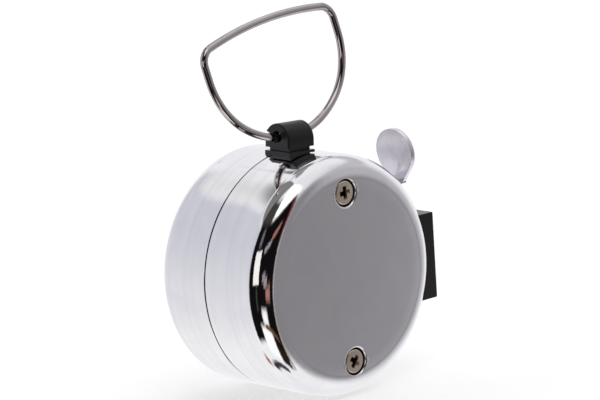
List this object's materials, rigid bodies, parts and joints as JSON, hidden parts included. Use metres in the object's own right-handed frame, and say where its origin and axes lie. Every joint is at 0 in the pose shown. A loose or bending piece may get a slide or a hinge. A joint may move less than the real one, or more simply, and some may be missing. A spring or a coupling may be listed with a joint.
{
  "type": "hand tally counter",
  "caption": "Chromed hand tally counter: round drum case, number window, reset knob, thumb lever and swinging finger ring.",
  "frame": {"origin": "centre of the flat end face that carries the two case screws", "axes": "+X along the drum towards the reset knob, -Y towards the number window, +Z towards the finger ring"},
  "size_m": [0.0356, 0.049, 0.0705],
  "materials": {
    "case_chrome": "polished",
    "screw_nickel": "nickel plated",
    "ring_steel": "polished",
    "black_plastic": "satin moulded",
    "clear_lens": "clear",
    "lever_steel": "brushed plate",
    "knob_chrome": "knurled",
    "wheel_plastic": "satin moulded",
    "pinion_plastic": "natural nylon",
    "frame_steel": "zinc plated sheet",
    "shaft_steel": "drawn bar",
    "brass": "machined"
  },
  "bodies": {
    "case": {"case_left": "case_chrome", "case_right": "case_chrome", "case_screws": "screw_nickel", "ring_holder": "black_plastic", "holder_retainer": "frame_steel", "window_bezel": "black_plastic", "window_lens": "clear_lens", "lever_pivot_pins": "shaft_steel", "lever_spring": "shaft_steel", "frame_spring_post": "shaft_steel", "lever_stop_pin": "shaft_steel", "stop_pawl_pin": "shaft_steel", "stop_pawl_spring": "shaft_steel", "pinion_shaft": "shaft_steel", "shaft_washers": "brass", "knob_bush": "brass", "frame_plate_left": "frame_steel", "frame_plate_right": "frame_steel", "frame_pillars": "shaft_steel"},
    "ring": {"finger_ring": "ring_steel"},
    "lever": {"thumb_lever": "lever_steel", "lever_spring_post": "shaft_steel", "drive_pawl_pin": "shaft_steel", "drive_pawl_spring": "shaft_steel"},
    "drive_pawl": {"drive_pawl": "frame_steel"},
    "stop_pawl": {"stop_pawl": "frame_steel"},
    "units": {"units_wheel": "wheel_plastic", "ratchet_wheel": "brass"},
    "tens": {"tens_wheel": "wheel_plastic"},
    "hundreds": {"hundreds_wheel": "wheel_plastic"},
    "thousands": {"thousands_wheel": "wheel_plastic"},
    "tens_pinion": {"tens_pinion": "pinion_plastic"},
    "hundreds_pinion": {"hundreds_pinion": "pinion_plastic"},
    "thousands_pinion": {"thousands_pinion": "pinion_plastic"},
    "reset": {"wheel_shaft": "shaft_steel", "shaft_clip": "frame_steel", "reset_knob": "knob_chrome", "knob_screw": "screw_nickel"}
  },
  "joints": [
    {"name": "ring_swing", "type": "hinge", "parent": "case", "child": "ring", "pos_m": [0.0137, 0.0004, 0.0254], "axis": [0, 1, 0], "range_deg": [-120, 100]},
    {"name": "lever_press", "type": "hinge", "parent": "case", "child": "lever", "pos_m": [0.01455, -0.005, 0.0035], "axis": [1, 0, 0], "range_deg": [0, 12], "stiffness_Nm_per_rad": 0.06, "springref_deg": -17.19, "deforming": ["lever_spring"]},
    {"name": "drive_pawl_swing", "type": "hinge", "parent": "lever", "child": "drive_pawl", "pos_m": [0.0238, -0.0098, -0.0083], "axis": [1, 0, 0], "range_deg": [0, 10], "stiffness_Nm_per_rad": 0.002, "springref_deg": -17.19},
    {"name": "stop_pawl_swing", "type": "hinge", "parent": "case", "child": "stop_pawl", "pos_m": [0.0238, -0.0015, -0.0035], "axis": [1, 0, 0], "range_deg": [-10, 0], "stiffness_Nm_per_rad": 0.002, "springref_deg": 17.19},
    {"name": "units_turn", "type": "hinge", "parent": "case", "child": "units", "pos_m": [0.02145, -0.0105, -0.0012], "axis": [1, 0, 0], "continuous": true},
    {"name": "tens_turn", "type": "hinge", "parent": "case", "child": "tens", "pos_m": [0.01685, -0.0105, -0.0012], "axis": [1, 0, 0], "continuous": true},
    {"name": "hundreds_turn", "type": "hinge", "parent": "case", "child": "hundreds", "pos_m": [0.01225, -0.0105, -0.0012], "axis": [1, 0, 0], "continuous": true},
    {"name": "thousands_turn", "type": "hinge", "parent": "case", "child": "thousands", "pos_m": [0.00765, -0.0105, -0.0012], "axis": [1, 0, 0], "continuous": true},
    {"name": "tens_pinion_turn", "type": "hinge", "parent": "case", "child": "tens_pinion", "pos_m": [0.01915, 0.00041, -0.0075], "axis": [1, 0, 0], "continuous": true},
    {"name": "hundreds_pinion_turn", "type": "hinge", "parent": "case", "child": "hundreds_pinion", "pos_m": [0.01455, 0.00041, -0.0075], "axis": [1, 0, 0], "continuous": true},
    {"name": "thousands_pinion_turn", "type": "hinge", "parent": "case", "child": "thousands_pinion", "pos_m": [0.00995, 0.00041, -0.0075], "axis": [1, 0, 0], "continuous": true},
    {"name": "reset_turn", "type": "hinge", "parent": "case", "child": "reset", "pos_m": [0.0328, -0.0105, -0.0012], "axis": [1, 0, 0], "continuous": true}
  ],
  "couplings": [
    {"joint": "tens_pinion_turn", "follows": "tens_turn", "ratio": -2.5},
    {"joint": "hundreds_pinion_turn", "follows": "hundreds_turn", "ratio": -2.5},
    {"joint": "thousands_pinion_turn", "follows": "thousands_turn", "ratio": -2.5}
  ]
}
